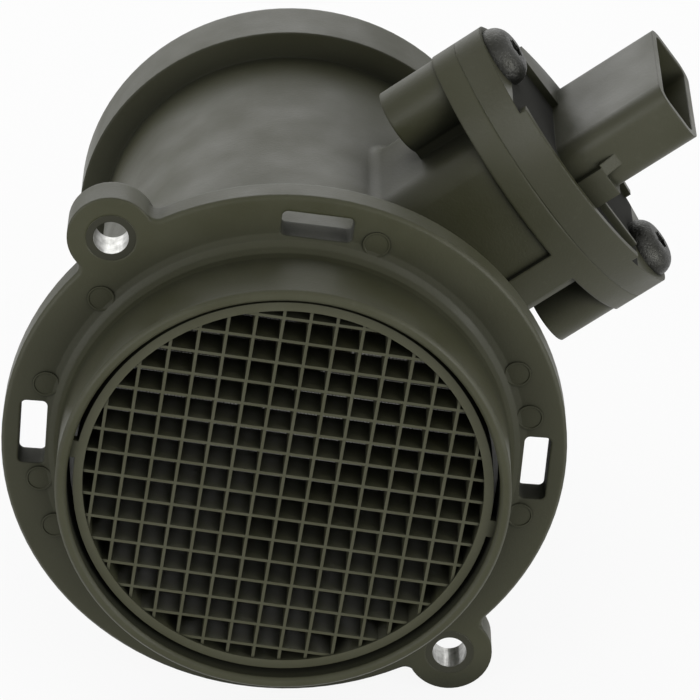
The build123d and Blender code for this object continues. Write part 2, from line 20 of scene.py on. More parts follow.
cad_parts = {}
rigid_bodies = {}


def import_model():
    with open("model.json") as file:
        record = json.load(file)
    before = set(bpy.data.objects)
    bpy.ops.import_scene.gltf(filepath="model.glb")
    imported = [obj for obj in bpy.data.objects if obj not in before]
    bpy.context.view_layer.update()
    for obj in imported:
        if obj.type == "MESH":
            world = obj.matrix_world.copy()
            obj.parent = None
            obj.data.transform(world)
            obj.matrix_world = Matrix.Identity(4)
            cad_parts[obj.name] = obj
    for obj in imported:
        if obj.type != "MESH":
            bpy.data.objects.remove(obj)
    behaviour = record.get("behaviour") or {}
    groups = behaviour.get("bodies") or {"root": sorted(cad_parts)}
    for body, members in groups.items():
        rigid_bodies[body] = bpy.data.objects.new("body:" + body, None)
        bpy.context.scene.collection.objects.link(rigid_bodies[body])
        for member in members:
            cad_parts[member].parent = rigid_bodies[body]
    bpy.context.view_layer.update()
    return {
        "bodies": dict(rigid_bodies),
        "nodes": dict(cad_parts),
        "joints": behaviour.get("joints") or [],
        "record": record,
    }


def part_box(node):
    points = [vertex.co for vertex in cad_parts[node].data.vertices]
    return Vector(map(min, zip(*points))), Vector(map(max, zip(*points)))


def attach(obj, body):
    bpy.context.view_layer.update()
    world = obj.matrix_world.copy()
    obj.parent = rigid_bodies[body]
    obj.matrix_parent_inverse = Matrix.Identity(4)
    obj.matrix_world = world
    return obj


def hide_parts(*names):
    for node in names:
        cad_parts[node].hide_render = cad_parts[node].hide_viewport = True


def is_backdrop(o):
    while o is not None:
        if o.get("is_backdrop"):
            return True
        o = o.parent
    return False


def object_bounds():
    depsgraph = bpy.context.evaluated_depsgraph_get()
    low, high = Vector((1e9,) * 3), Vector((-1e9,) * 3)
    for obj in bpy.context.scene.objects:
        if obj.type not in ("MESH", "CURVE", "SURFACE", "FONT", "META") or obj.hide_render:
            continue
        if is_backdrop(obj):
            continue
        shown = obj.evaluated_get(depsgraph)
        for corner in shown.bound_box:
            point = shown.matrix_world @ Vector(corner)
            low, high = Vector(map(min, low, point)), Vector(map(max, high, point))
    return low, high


LOG = logging.getLogger("air_flow_meter")
MM = 0.001
BODY = "root"

Colour = tuple[float, float, float]
Socket = bpy.types.NodeSocket


class Slot(Enum):
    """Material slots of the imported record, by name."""

    BLACK_MOULDING = "black_moulding"
    SCREW_STEEL = "screw_steel"
    STAINLESS_WIRE = "stainless_wire"


class Grain(Enum):
    """Ways that a metal's surface is marked."""

    BRUSHED = "brushed"
    STAMPED = "stamped"
    PITTED = "pitted"


# --------------------------------------------------------------------------------------------------
# Node trees
# --------------------------------------------------------------------------------------------------


class NodeDesk:
    """Lays out and links one material's nodes."""

    def __init__(self, name: str) -> None:
        """Starts an empty node tree.

        Args:
            name: The material's name.
        """
        self.material = bpy.data.materials.new(name)
        self.material.use_nodes = True
        self.tree = self.material.node_tree
        self.tree.nodes.clear()
        self.column = 0

    @classmethod
    def reopen(cls, material: bpy.types.Material) -> NodeDesk:
        """Takes up a finished material again, with its nodes kept.

        Args:
            material: The material.

        Returns:
            A desk that adds nodes to it.
        """
        desk = cls.__new__(cls)
        desk.material = material
        desk.tree = material.node_tree
        desk.column = len(desk.tree.nodes)
        return desk

    def add(self, kind: str, **settings: object) -> bpy.types.Node:
        """Adds a node.

        Args:
            kind: The node's Blender type.
            **settings: Properties of the node, by name.

        Returns:
            The new node.
        """
        node = self.tree.nodes.new(kind)
        for key, value in settings.items():
            setattr(node, key, value)
        node.location = (180 * self.column, -40 * (self.column % 5))
        self.column += 1
        return node

    def link(self, source: Socket, target: Socket) -> None:
        """Links one socket to another."""
        self.tree.links.new(source, target)

    def object_place(self, stretch: Colour = (1.0, 1.0, 1.0)) -> Socket:
        """Gives the object coordinates, stretched along each axis.

        Args:
            stretch: The factor along x, y and z.

        Returns:
            The vector socket.
        """
        place = self.add("ShaderNodeTexCoord")
        mapping = self.add("ShaderNodeMapping")
        mapping.inputs["Scale"].default_value = stretch
        self.link(place.outputs["Object"], mapping.inputs["Vector"])
        return mapping.outputs["Vector"]

    def noise(self, place: Socket, pitch: float, detail: float = 3.0) -> Socket:
        """Adds a noise texture.

        Args:
            place: The coordinates it reads.
            pitch: The size of its patches, in metres.
            detail: Octaves of finer noise.

        Returns:
            The factor socket.
        """
        node = self.add("ShaderNodeTexNoise")
        node.inputs["Scale"].default_value = 1.0 / pitch
        node.inputs["Detail"].default_value = detail
        self.link(place, node.inputs["Vector"])
        return node.outputs["Fac"]

    def spread(self, source: Socket, low: float, high: float, to: tuple[float, float]) -> Socket:
        """Maps a span of values onto another, held at its ends.

        Args:
            source: The value socket.
            low: The source value that gives the first result.
            high: The source value that gives the second result.
            to: The two results.

        Returns:
            The result socket.
        """
        node = self.add("ShaderNodeMapRange", clamp=True)
        node.inputs["From Min"].default_value = low
        node.inputs["From Max"].default_value = high
        node.inputs["To Min"].default_value = to[0]
        node.inputs["To Max"].default_value = to[1]
        self.link(source, node.inputs["Value"])
        return node.outputs["Result"]

    def blend(self, factor: Socket, first: Colour, second: Colour) -> Socket:
        """Mixes two colours.

        Args:
            factor: How far from the first to the second.
            first: The colour at zero.
            second: The colour at one.

        Returns:
            The colour socket.
        """
        node = self.add("ShaderNodeMix", data_type="RGBA")
        node.inputs[6].default_value = (*first, 1.0)
        node.inputs[7].default_value = (*second, 1.0)
        self.link(factor, node.inputs[0])
        return node.outputs[2]

    def blend_over(self, factor: Socket, base: Socket, second: Colour) -> Socket:
        """Mixes a colour over a colour socket.

        Args:
            factor: How far from the base to the second colour.
            base: The colour socket at zero.
            second: The colour at one.

        Returns:
            The colour socket.
        """
        node = self.add("ShaderNodeMix", data_type="RGBA")
        node.inputs[7].default_value = (*second, 1.0)
        self.link(factor, node.inputs[0])
        self.link(base, node.inputs[6])
        return node.outputs[2]

    def slide(self, factor: Socket, base: Socket, to: float) -> Socket:
        """Slides a value towards a fixed one.

        Args:
            factor: How far.
            base: The value socket at zero.
            to: The value at one.

        Returns:
            The value socket.
        """
        node = self.add("ShaderNodeMix", data_type="FLOAT")
        node.inputs[3].default_value = to
        self.link(factor, node.inputs[0])
        self.link(base, node.inputs[2])
        return node.outputs[0]

    def facing(self, way: Colour, low: float, high: float) -> Socket:
        """Tells how squarely the surface faces a direction or its opposite.

        Args:
            way: The direction, in the object's own axes.
            low: The cosine that gives 0.
            high: The cosine that gives 1.

        Returns:
            The factor socket.
        """
        place = self.add("ShaderNodeTexCoord")
        dot = self.add("ShaderNodeVectorMath", operation="DOT_PRODUCT")
        dot.inputs[1].default_value = way
        self.link(place.outputs["Normal"], dot.inputs[0])
        size = self.add("ShaderNodeMath", operation="ABSOLUTE")
        self.link(dot.outputs["Value"], size.inputs[0])
        return self.spread(size.outputs[0], low, high, (0.0, 1.0))

    def within(self, way: Colour, middle: float, half: float) -> Socket:
        """Tells whether a spot lies within a slab across a direction.

        Args:
            way: The direction, in the object's own axes.
            middle: The slab's middle along it, in metres.
            half: Half of the slab's thickness, in metres.

        Returns:
            The factor socket, 1 inside and 0 outside.
        """
        place = self.add("ShaderNodeTexCoord")
        dot = self.add("ShaderNodeVectorMath", operation="DOT_PRODUCT")
        dot.inputs[1].default_value = way
        self.link(place.outputs["Object"], dot.inputs[0])
        inside = self.add("ShaderNodeMath", operation="COMPARE")
        inside.inputs[1].default_value = middle
        inside.inputs[2].default_value = half
        self.link(dot.outputs["Value"], inside.inputs[0])
        return inside.outputs[0]

    def hollows(self, reach: float, open_share: float, closed_share: float) -> Socket:
        """Tells how deep a spot lies in a corner or hollow.

        Args:
            reach: How far the walls round it count, in metres.
            open_share: The open share of the view that gives 0.
            closed_share: The open share of the view that gives 1.

        Returns:
            The factor socket.
        """
        node = self.add("ShaderNodeAmbientOcclusion", samples=6)
        node.inputs["Distance"].default_value = reach
        return self.spread(node.outputs["AO"], closed_share, open_share, (1.0, 0.0))

    def both(self, first: Socket, second: Socket) -> Socket:
        """Multiplies two factors."""
        node = self.add("ShaderNodeMath", operation="MULTIPLY")
        self.link(first, node.inputs[0])
        self.link(second, node.inputs[1])
        return node.outputs[0]

    def relief(
        self,
        height: Socket,
        depth: float,
        under: Socket | None = None,
    ) -> Socket:
        """Adds a bump.

        Args:
            height: The height socket, from 0 to 1.
            depth: The height's depth, in metres.
            under: The normal that it stands on.

        Returns:
            The normal socket.
        """
        node = self.add("ShaderNodeBump")
        node.inputs["Distance"].default_value = depth
        self.link(height, node.inputs["Height"])
        if under is not None:
            self.link(under, node.inputs["Normal"])
        return node.outputs["Normal"]

    def eased_edges(self, radius: float) -> Socket:
        """Rounds the shading of sharp edges.

        Args:
            radius: The rounding, in metres.

        Returns:
            The normal socket.
        """
        node = self.add("ShaderNodeBevel", samples=6)
        node.inputs["Radius"].default_value = radius
        return node.outputs["Normal"]

    def surface(self, metallic: float, specular: float, ior: float = 1.5) -> bpy.types.Node:
        """Adds the shader and the output.

        Args:
            metallic: 1 for bare metal.
            specular: Strength of the shader's own reflection.
            ior: Refractive index.

        Returns:
            The shader node.
        """
        shader = self.add("ShaderNodeBsdfPrincipled")
        shader.inputs["Metallic"].default_value = metallic
        shader.inputs["Specular IOR Level"].default_value = specular
        shader.inputs["IOR"].default_value = ior
        output = self.add("ShaderNodeOutputMaterial")
        self.link(shader.outputs["BSDF"], output.inputs["Surface"])
        return shader


@dataclass(frozen=True)
class ModuleAxes:
    """Where the sensor module stands: its place along the tube and how far it is turned."""

    along: float = 52.5 * MM
    turn: float = math.radians(34.444)

    def outward(self) -> Vector:
        """Gives the direction away from the tube's axis."""
        return Vector((math.cos(self.turn), 0.0, math.sin(self.turn)))

    def sideways(self) -> Vector:
        """Gives the direction along the plate's length."""
        return Vector((-math.sin(self.turn), 0.0, math.cos(self.turn)))

    def place(self, across: float, out: float) -> Matrix:
        """Gives the frame of a spot on the module, with z outward.

        Args:
            across: The distance across the tube from the module's middle.
            out: The distance from the tube's axis.

        Returns:
            The frame as a matrix.
        """
        outward = self.outward()
        sideways = self.sideways()
        toward = outward.cross(sideways)
        spot = Vector((0.0, self.along, 0.0)) + sideways * across + outward * out
        frame = Matrix((sideways, toward, outward)).transposed().to_4x4()
        frame.translation = spot
        return frame


# --------------------------------------------------------------------------------------------------
# Finishes
# --------------------------------------------------------------------------------------------------


@dataclass(frozen=True)
class MouldedFinish:
    """Filled thermoplastic: fine grain, flow clouds and a pale bloom from handling, with painted shade
    darkening its corners and hollows, which are also duller.
    """

    name: str
    colour: Colour
    bloom: Colour
    roughness: float = 0.46
    roughness_swing: float = 0.08
    grain_pitch: float = 0.55 * MM
    grain_depth: float = 0.035 * MM
    cloud_pitch: float = 14 * MM
    bloom_share: float = 0.5
    edge_radius: float = 0.45 * MM
    specular: float = 0.3
    corner_reach: float = 14 * MM
    # Painted shade: the colour that corners and hollows are darkened towards.
    painted_corner_shade: Colour = (0.009, 0.0095, 0.002)
    corner_dullness: float = 0.85
    open_share: float = 0.93
    closed_share: float = 0.5

    def build(self) -> bpy.types.Material:
        """Builds the finish's material."""
        desk = NodeDesk(self.name)
        place = desk.object_place()
        clouds = desk.noise(place, self.cloud_pitch, 4.0)
        specks = desk.noise(place, self.grain_pitch * 3.0, 2.0)
        grain = desk.noise(place, self.grain_pitch, 3.0)
        cloudy = desk.spread(clouds, 0.35, 0.72, (0.0, self.bloom_share))
        base = desk.blend(cloudy, self.colour, self.bloom)
        dusty = desk.spread(specks, 0.6, 0.78, (0.0, 0.45))
        dusted = desk.blend_over(dusty, base, self.bloom)
        # Painted shade: where ambient occlusion finds corners and hollows, the colour darkens towards the
        # painted corner shade and the roughness rises.
        corners = desk.hollows(self.corner_reach, self.open_share, self.closed_share)
        tint = desk.blend_over(corners, dusted, self.painted_corner_shade)
        glossy = self.roughness - self.roughness_swing
        dull = self.roughness + self.roughness_swing
        gloss = desk.slide(corners, desk.spread(clouds, 0.3, 0.7, (glossy, dull)), self.corner_dullness)
        waves = desk.relief(clouds, 2 * self.grain_depth, desk.eased_edges(self.edge_radius))
        normal = desk.relief(grain, self.grain_depth, waves)
        shader = desk.surface(0.0, self.specular)
        desk.link(tint, shader.inputs["Base Color"])
        desk.link(gloss, shader.inputs["Roughness"])
        desk.link(normal, shader.inputs["Normal"])
        return desk.material


@dataclass(frozen=True)
class PlateFinish(MouldedFinish):
    """The module's moulding, with painted shade darkening the dull floor of the shallow pockets round the
    connector.
    """

    axes: ModuleAxes = ModuleAxes()
    floor_height: float = 76.5 * MM
    floor_reach: float = 0.15 * MM
    half_span: float = 24.0 * MM
    # Painted shade: the colour that the pocket floors are darkened towards.
    painted_pocket_shade: Colour = (0.004, 0.004, 0.002)

    def build(self) -> bpy.types.Material:
        """Builds the finish's material."""
        material = super().build()
        desk = NodeDesk.reopen(material)
        shader = next(node for node in material.node_tree.nodes if node.type == "BSDF_PRINCIPLED")
        outward = tuple(self.axes.outward())
        on_floor = desk.both(
            desk.within(outward, self.floor_height, self.floor_reach), desk.facing(outward, 0.7, 0.9)
        )
        pocket = desk.both(on_floor, desk.within(tuple(self.axes.sideways()), 0.0, self.half_span))
        tint = shader.inputs["Base Color"].links[0].from_socket
        # Painted shade on the pocket floors, which are also made fully rough.
        desk.link(desk.blend_over(pocket, tint, self.painted_pocket_shade), shader.inputs["Base Color"])
        gloss = shader.inputs["Roughness"].links[0].from_socket
        desk.link(desk.slide(pocket, gloss, 1.0), shader.inputs["Roughness"])
        return material


@dataclass(frozen=True)
class SleeveFinish:
    """Rolled steel sleeve: a bright bore, and darker end faces that face along the tube's axis."""

    name: str
    bore: Colour
    end: Colour
    roughness: float = 0.34

    def build(self) -> bpy.types.Material:
        """Builds the finish's material."""
        desk = NodeDesk(self.name)
        rolled = desk.noise(desk.object_place((1.0, 0.06, 1.0)), 0.3 * MM, 4.0)
        patches = desk.noise(desk.object_place(), 1.6 * MM, 3.0)
        mottled = desk.blend(desk.spread(patches, 0.4, 0.7, (0.0, 0.5)), self.bore, self.end)
        ends = desk.facing((0.0, 1.0, 0.0), 0.6, 0.85)
        tint = desk.blend_over(ends, mottled, self.end)
        gloss = desk.spread(rolled, 0.25, 0.75, (self.roughness - 0.08, self.roughness + 0.12))
        shader = desk.surface(1.0, 0.5)
        desk.link(tint, shader.inputs["Base Color"])
        desk.link(gloss, shader.inputs["Roughness"])
        desk.link(desk.relief(rolled, 0.02 * MM, desk.eased_edges(0.12 * MM)), shader.inputs["Normal"])
        return desk.material


@dataclass(frozen=True)
class MetalFinish:
    """Bare or plated metal with brushing, stamping waves or pits."""

    name: str
    colour: Colour
    stain: Colour
    grain: Grain
    roughness: float = 0.35
    pitch: float = 0.4 * MM
    depth: float = 0.02 * MM
    edge_radius: float = 0.15 * MM

    def stretch(self) -> Colour:
        """Gives how the grain is drawn out along each axis."""
        return (1.0, 0.08, 1.0) if self.grain is Grain.BRUSHED else (1.0, 1.0, 1.0)

    def build(self) -> bpy.types.Material:
        """Builds the finish's material."""
        desk = NodeDesk(self.name)
        place = desk.object_place(self.stretch())
        fine = desk.noise(place, self.pitch, 4.0)
        broad = desk.noise(desk.object_place(), 12 * self.pitch, 3.0)
        stained = desk.spread(broad, 0.42, 0.7, (0.0, 0.85))
        tint = desk.blend(stained, self.colour, self.stain)
        gloss = desk.spread(fine, 0.25, 0.75, (self.roughness - 0.08, self.roughness + 0.12))
        eased = desk.eased_edges(self.edge_radius)
        if self.grain is Grain.PITTED:
            pits = desk.spread(fine, 0.36, 0.52, (0.0, 1.0))
            eased = desk.relief(pits, 4 * self.depth, eased)
        if self.grain is Grain.STAMPED:
            eased = desk.relief(broad, 3 * self.depth, eased)
        normal = desk.relief(fine, self.depth, eased)
        shader = desk.surface(1.0, 0.5)
        desk.link(tint, shader.inputs["Base Color"])
        desk.link(gloss, shader.inputs["Roughness"])
        desk.link(normal, shader.inputs["Normal"])
        return desk.material


@dataclass(frozen=True)
class RubberFinish:
    """Black rubber: matt, with a faint grey bloom and mould texture."""

    name: str
    colour: Colour
    bloom: Colour

    def build(self) -> bpy.types.Material:
        """Builds the finish's material."""
        desk = NodeDesk(self.name)
        place = desk.object_place()
        patches = desk.noise(place, 3 * MM, 4.0)
        grain = desk.noise(place, 0.25 * MM, 2.0)
        tint = desk.blend(desk.spread(patches, 0.4, 0.7, (0.0, 1.0)), self.colour, self.bloom)
        shader = desk.surface(0.0, 0.35)
        desk.link(tint, shader.inputs["Base Color"])
        desk.link(desk.spread(patches, 0.3, 0.7, (0.62, 0.8)), shader.inputs["Roughness"])
        desk.link(desk.relief(grain, 0.03 * MM, desk.eased_edges(0.3 * MM)), shader.inputs["Normal"])
        return desk.material


@dataclass(frozen=True)
class FiredFinish:
    """Ceramic, glass frit or printed paste: hard, with a fine speckle and a soft sheen."""

    name: str
    colour: Colour
    speckle: Colour
    roughness: float = 0.35

    def build(self) -> bpy.types.Material:
        """Builds the finish's material."""
        desk = NodeDesk(self.name)
        place = desk.object_place()
        specks = desk.noise(place, 0.3 * MM, 4.0)
        patches = desk.noise(place, 2.5 * MM, 2.0)
        tint = desk.blend(desk.spread(specks, 0.5, 0.68, (0.0, 0.8)), self.colour, self.speckle)
        shader = desk.surface(0.0, 0.5)
        desk.link(tint, shader.inputs["Base Color"])
        gloss = desk.spread(patches, 0.3, 0.7, (self.roughness - 0.07, self.roughness + 0.1))
        desk.link(gloss, shader.inputs["Roughness"])
        desk.link(desk.relief(specks, 0.01 * MM, desk.eased_edges(0.1 * MM)), shader.inputs["Normal"])
        return desk.material


Finish = MouldedFinish | SleeveFinish | MetalFinish | RubberFinish | FiredFinish


@dataclass(frozen=True)
class FinishBook:
    """The part's finishes and the CAD nodes that wear them."""

    housing: MouldedFinish = MouldedFinish(
        "housing_moulding", colour=(0.027, 0.0275, 0.0115), bloom=(0.039, 0.0395, 0.022),
        # The housing's painted shade in corners and hollows is darker than the default.
        edge_radius=0.8 * MM, painted_corner_shade=(0.006, 0.0065, 0.0012),
    )
    grille: MouldedFinish = MouldedFinish(
        "grille_moulding", colour=(0.034, 0.0342, 0.0165), bloom=(0.046, 0.046, 0.028), edge_radius=0.12 * MM,
        cloud_pitch=9 * MM, corner_reach=3 * MM,
    )
    module: PlateFinish = PlateFinish(
        "module_moulding", colour=(0.03, 0.0303, 0.0155), bloom=(0.043, 0.0433, 0.027), roughness=0.43,
        corner_reach=4 * MM,
    )
    marks: MouldedFinish = MouldedFinish(
        "mark_moulding", colour=(0.027, 0.0275, 0.0115), bloom=(0.039, 0.0395, 0.022), edge_radius=0.04 * MM
    )
    covers: MouldedFinish = MouldedFinish(
        "cover_moulding", colour=(0.02, 0.02, 0.0205), bloom=(0.035, 0.035, 0.035), roughness=0.55,
        edge_radius=0.2 * MM,
    )
    zinc: SleeveFinish = SleeveFinish("zinc_steel", bore=(0.5, 0.5, 0.48), end=(0.045, 0.045, 0.034))
    screw: MetalFinish = MetalFinish(
        "screw_steel", colour=(0.035, 0.035, 0.031), stain=(0.075, 0.075, 0.07), grain=Grain.PITTED,
        roughness=0.42, pitch=0.6 * MM, depth=0.012 * MM,
    )
    wire: MetalFinish = MetalFinish(
        "stainless_wire", colour=(0.16, 0.155, 0.13), stain=(0.08, 0.078, 0.065), grain=Grain.BRUSHED,
        roughness=0.4, edge_radius=0.03 * MM,
    )
    rim: MetalFinish = MetalFinish(
        "rim_steel", colour=(0.3, 0.3, 0.29), stain=(0.2, 0.2, 0.19), grain=Grain.STAMPED, roughness=0.4
    )
    brass: MetalFinish = MetalFinish(
        "insert_brass", colour=(0.62, 0.42, 0.16), stain=(0.42, 0.27, 0.1), grain=Grain.STAMPED, roughness=0.3
    )
    tin: MetalFinish = MetalFinish(
        "terminal_tin", colour=(0.6, 0.59, 0.56), stain=(0.42, 0.41, 0.39), grain=Grain.STAMPED,
        roughness=0.28,
    )
    aluminium: MetalFinish = MetalFinish(
        "carrier_aluminium", colour=(0.66, 0.66, 0.68), stain=(0.5, 0.5, 0.52), grain=Grain.BRUSHED,
        roughness=0.36,
    )
    rubber: RubberFinish = RubberFinish(
        "seal_rubber", colour=(0.012, 0.012, 0.012), bloom=(0.03, 0.03, 0.03)
    )
    ceramic: FiredFinish = FiredFinish(
        "board_ceramic", colour=(0.72, 0.71, 0.66), speckle=(0.6, 0.59, 0.54)
    )
    epoxy: FiredFinish = FiredFinish(
        "chip_epoxy", colour=(0.012, 0.012, 0.013), speckle=(0.025, 0.025, 0.026)
    )
    paste: FiredFinish = FiredFinish(
        "resistor_paste", colour=(0.02, 0.06, 0.045), speckle=(0.035, 0.08, 0.06)
    )
    frit: FiredFinish = FiredFinish(
        "element_glass", colour=(0.05, 0.055, 0.07), speckle=(0.1, 0.1, 0.12), roughness=0.15
    )

    def worn_by(self) -> dict[str, Finish]:
        """Gives the finish of each CAD node, by the node's name."""
        return {
            "housing": self.housing,
            "inlet_grille": self.grille,
            "module_body": self.module,
            "circuit_cover": self.covers,
            "duct_cover": self.covers,
            "ear_sleeves": self.zinc,
            "module_screws": self.screw,
            "wire_mesh": self.wire,
            "mesh_rim": self.rim,
            "boss_inserts": self.brass,
            "connector_terminals": self.tin,
            "carrier_plate": self.aluminium,
            "probe_seal": self.rubber,
            "hybrid_board": self.ceramic,
            "chip_capacitors": self.ceramic,
            "signal_chip": self.epoxy,
            "heater_transistor": self.epoxy,
            "air_thermistor": self.epoxy,
            "trim_resistors": self.paste,
            "hot_film_element": self.frit,
        }

    def dress(self, nodes: dict[str, bpy.types.Object]) -> dict[str, bpy.types.Material]:
        """Builds each finish once and puts it on its nodes.

        Args:
            nodes: The CAD nodes, by name.

        Returns:
            The materials, by the finish's name.
        """
        built: dict[str, bpy.types.Material] = {}
        for node_name, finish in self.worn_by().items():
            if finish.name not in built:
                built[finish.name] = finish.build()
            wear(nodes[node_name], built[finish.name])
            LOG.info("%s wears %s", node_name, finish.name)
        built[self.marks.name] = self.marks.build()
        return built


# --------------------------------------------------------------------------------------------------
# Modelling by hand
# --------------------------------------------------------------------------------------------------


def wear(piece: bpy.types.Object, material: bpy.types.Material) -> None:
    """Puts one material on all of a piece."""
    piece.data.materials.clear()
    piece.data.materials.append(material)


def clear_selection() -> None:
    """Deselects every object."""
    bpy.ops.object.select_all(action="DESELECT")


def take(piece: bpy.types.Object) -> None:
    """Makes a piece the only one selected, and active."""
    clear_selection()
    piece.select_set(True)
    bpy.context.view_layer.objects.active = piece


def settle(piece: bpy.types.Object, place: Matrix | None = None) -> None:
    """Moves a piece to its place and writes the place into its mesh.

    Args:
        piece: The piece, near the origin.
        place: Where it goes, or None to keep it where it is.
    """
    take(piece)
    if place is not None:
        piece.matrix_world = place @ piece.matrix_world
    bpy.ops.object.transform_apply(location=True, rotation=True, scale=True)


def pick(piece: bpy.types.Object, kind: str, wanted: Callable[[Vector, Vector], bool]) -> None:
    """Selects the vertices, edges or faces of the piece in edit mode that meet a test.

    Args:
        piece: The piece, in edit mode.
        kind: "VERT", "EDGE" or "FACE".
        wanted: Takes a middle point and a direction: an edge's own direction, or a vertex's or face's normal.
    """
    bpy.ops.mesh.select_mode(type=kind)
    bpy.ops.mesh.select_all(action="DESELECT")
    shape = bmesh.from_edit_mesh(piece.data)
    if kind == "VERT":
        for vert in shape.verts:
            if wanted(vert.co, vert.normal):
                vert.select_set(True)
    elif kind == "EDGE":
        for edge in shape.edges:
            ends = [vert.co for vert in edge.verts]
            if wanted((ends[0] + ends[1]) / 2, (ends[1] - ends[0]).normalized()):
                edge.select_set(True)
    else:
        for face in shape.faces:
            if wanted(face.calc_center_median(), face.normal):
                face.select_set(True)
    shape.select_flush_mode()
    bmesh.update_edit_mesh(piece.data)


def twin(piece: bpy.types.Object, name: str) -> bpy.types.Object:
    """Copies a piece with a mesh of its own.

    Args:
        piece: The piece to copy.
        name: The copy's name.

    Returns:
        The copy.
    """
    copy = piece.copy()
    copy.data = piece.data.copy()
    copy.name = name
    bpy.context.scene.collection.objects.link(copy)
    return copy


def gather(pieces: list[bpy.types.Object], name: str) -> bpy.types.Object:
    """Joins pieces into one.

    Args:
        pieces: The pieces.
        name: The name of the whole.

    Returns:
        The joined piece.
    """
    clear_selection()
    for piece in pieces:
        piece.select_set(True)
    bpy.context.view_layer.objects.active = pieces[0]
    bpy.ops.object.join()
    whole = bpy.context.view_layer.objects.active
    whole.name = name
    return whole


def repeat(piece: bpy.types.Object, count: int, step: Colour, weld: bool) -> None:
    """Repeats a piece along a line and centres the row.

    Args:
        piece: The piece.
        count: How many there are in all.
        step: The way from one to the next.
        weld: Whether touching ends are joined.
    """
    take(piece)
    row = piece.modifiers.new("row", "ARRAY")
    row.count = count
    row.use_relative_offset = False
    row.use_constant_offset = True
    row.constant_offset_displace = step
    row.use_merge_vertices = weld
    row.merge_threshold = 0.002 * MM
    bpy.ops.object.modifier_apply(modifier=row.name)
    half = -(count - 1) / 2
    settle(piece, Matrix.Translation(Vector(step) * half))


def shade(piece: bpy.types.Object, degrees: float) -> None:
    """Smooths a piece's shading except over sharper edges than an angle."""
    take(piece)
    bpy.ops.object.shade_smooth_by_angle(angle=math.radians(degrees))


# --------------------------------------------------------------------------------------------------
# New pieces
# --------------------------------------------------------------------------------------------------


@dataclass
class FineMesh:
    """Woven wire mesh that straightens the intake air, gripped between the grille and the mesh rim."""

    pitch: float = 0.74 * MM
    wire: float = 0.18 * MM
    swing: float = 0.055 * MM
    grip: float = 0.2 * MM
    turn: float = math.radians(-9.756)

    def wire_run(self, count: int) -> bpy.types.Object:
        """Models two neighbouring wires that weave in opposite steps.

        Args:
            count: How many double pitches long they are.

        Returns:
            The pair, along X.
        """
        clear_selection()
        bpy.ops.mesh.primitive_cylinder_add(
            vertices=4, radius=self.wire / 2, depth=2 * self.pitch, end_fill_type="NOTHING",
            rotation=(0.0, math.pi / 2, 0.0),
        )
        run = bpy.context.active_object
        settle(run)
        bpy.ops.object.mode_set(mode="EDIT")
        pick(run, "EDGE", lambda middle, way: abs(way.x) > 0.9)
        bpy.ops.mesh.subdivide(number_cuts=1)
        pick(run, "VERT", lambda spot, normal: abs(spot.x) < 0.1 * self.pitch)
        bpy.ops.transform.translate(value=(0.0, 0.0, -self.swing))
        pick(run, "VERT", lambda spot, normal: abs(spot.x) > 0.1 * self.pitch)
        bpy.ops.transform.translate(value=(0.0, 0.0, self.swing))
        bpy.ops.object.mode_set(mode="OBJECT")
        repeat(run, count, (2 * self.pitch, 0.0, 0.0), True)
        bpy.ops.object.mode_set(mode="EDIT")
        bpy.ops.mesh.select_all(action="SELECT")
        bpy.ops.mesh.duplicate()
        bpy.ops.transform.translate(value=(self.pitch, self.pitch, 0.0))
        bpy.ops.object.mode_set(mode="OBJECT")
        return run

    def build(self, material: bpy.types.Material) -> bpy.types.Object:
        """Models the sheet in the place of the CAD mesh.

        Args:
            material: The wire's finish.

        Returns:
            The finished piece.
        """
        low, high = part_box("wire_mesh")
        radius = (high.x - low.x) / 2 - self.grip
        count = math.ceil(radius / self.pitch) + 1
        warp = self.wire_run(count)
        repeat(warp, count, (0.0, 2 * self.pitch, 0.0), False)
        weft = twin(warp, "weft")
        across = Euler((0.0, 0.0, math.pi / 2)).to_matrix().to_4x4()
        settle(weft, across @ Matrix.Translation((self.pitch, 0.0, 0.0)))
        sheet = gather([warp, weft], "fine_wire_mesh")
        bpy.ops.object.mode_set(mode="EDIT")
        pick(sheet, "VERT", lambda spot, normal: math.hypot(spot.x, spot.y) > radius)
        bpy.ops.mesh.delete(type="VERT")
        bpy.ops.mesh.select_all(action="SELECT")
        bpy.ops.mesh.fill_holes(sides=4)
        bpy.ops.mesh.select_all(action="SELECT")
        bpy.ops.mesh.normals_make_consistent(inside=False)
        bpy.ops.object.mode_set(mode="OBJECT")
        upright = Euler((math.pi / 2, 0.0, 0.0)).to_matrix().to_4x4()
        turned = Matrix.Rotation(-self.turn, 4, "Y")
        settle(sheet, Matrix.Translation((0.0, (low.y + high.y) / 2, 0.0)) @ turned @ upright)
        wear(sheet, material)
        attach(sheet, BODY)
        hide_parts("wire_mesh")
        LOG.info("fine wire mesh: %d faces", len(sheet.data.polygons))
        return sheet


